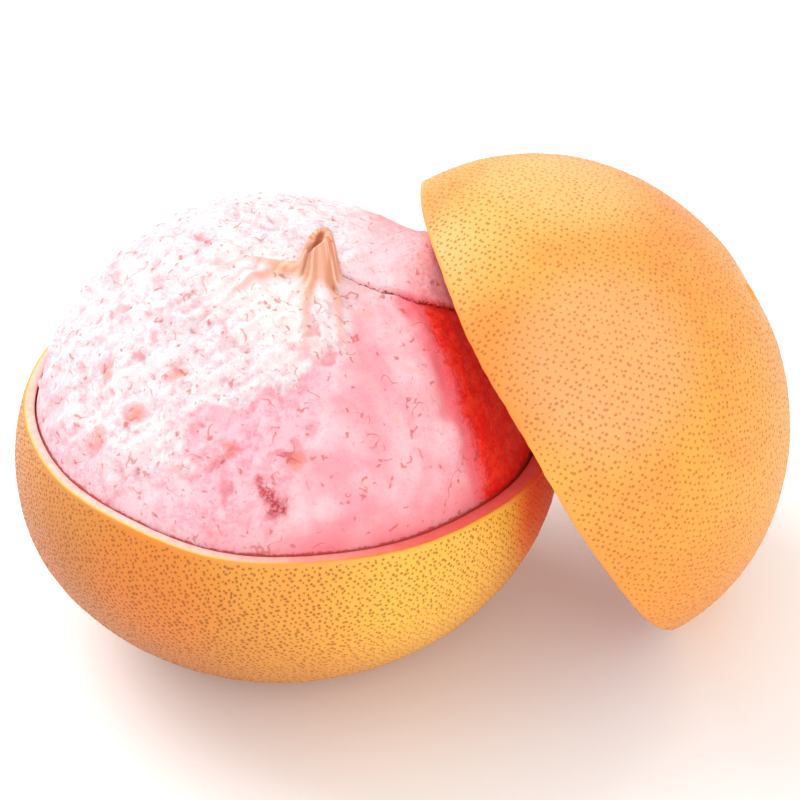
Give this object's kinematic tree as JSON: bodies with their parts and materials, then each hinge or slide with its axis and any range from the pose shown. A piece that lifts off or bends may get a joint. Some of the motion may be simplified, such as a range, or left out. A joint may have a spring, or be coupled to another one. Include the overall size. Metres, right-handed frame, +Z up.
{
  "type": "pomelo",
  "caption": "Peeled pomelo in its pink pith, sitting in the lower half of its orange-yellow rind, with the upper half of the rind leaning beside it.",
  "frame": {"origin": "centre of the flat spot that the lower rind stands on", "axes": "+Z up, +X from the fruit toward the upper rind, -Y toward the viewer"},
  "size_m": [0.2412, 0.1791, 0.1492],
  "materials": {
    "rind": "waxy dimpled citrus skin, orange-yellow with darker oil glands, pale pith on the cut edge and inside",
    "pith": "soft matt citrus pith, white to pink, torn and lumpy, with short reddish veins"
  },
  "bodies": {
    "root": {"lower_rind": "rind", "peeled_fruit": "pith", "upper_rind": "rind"}
  },
  "joints": []
}
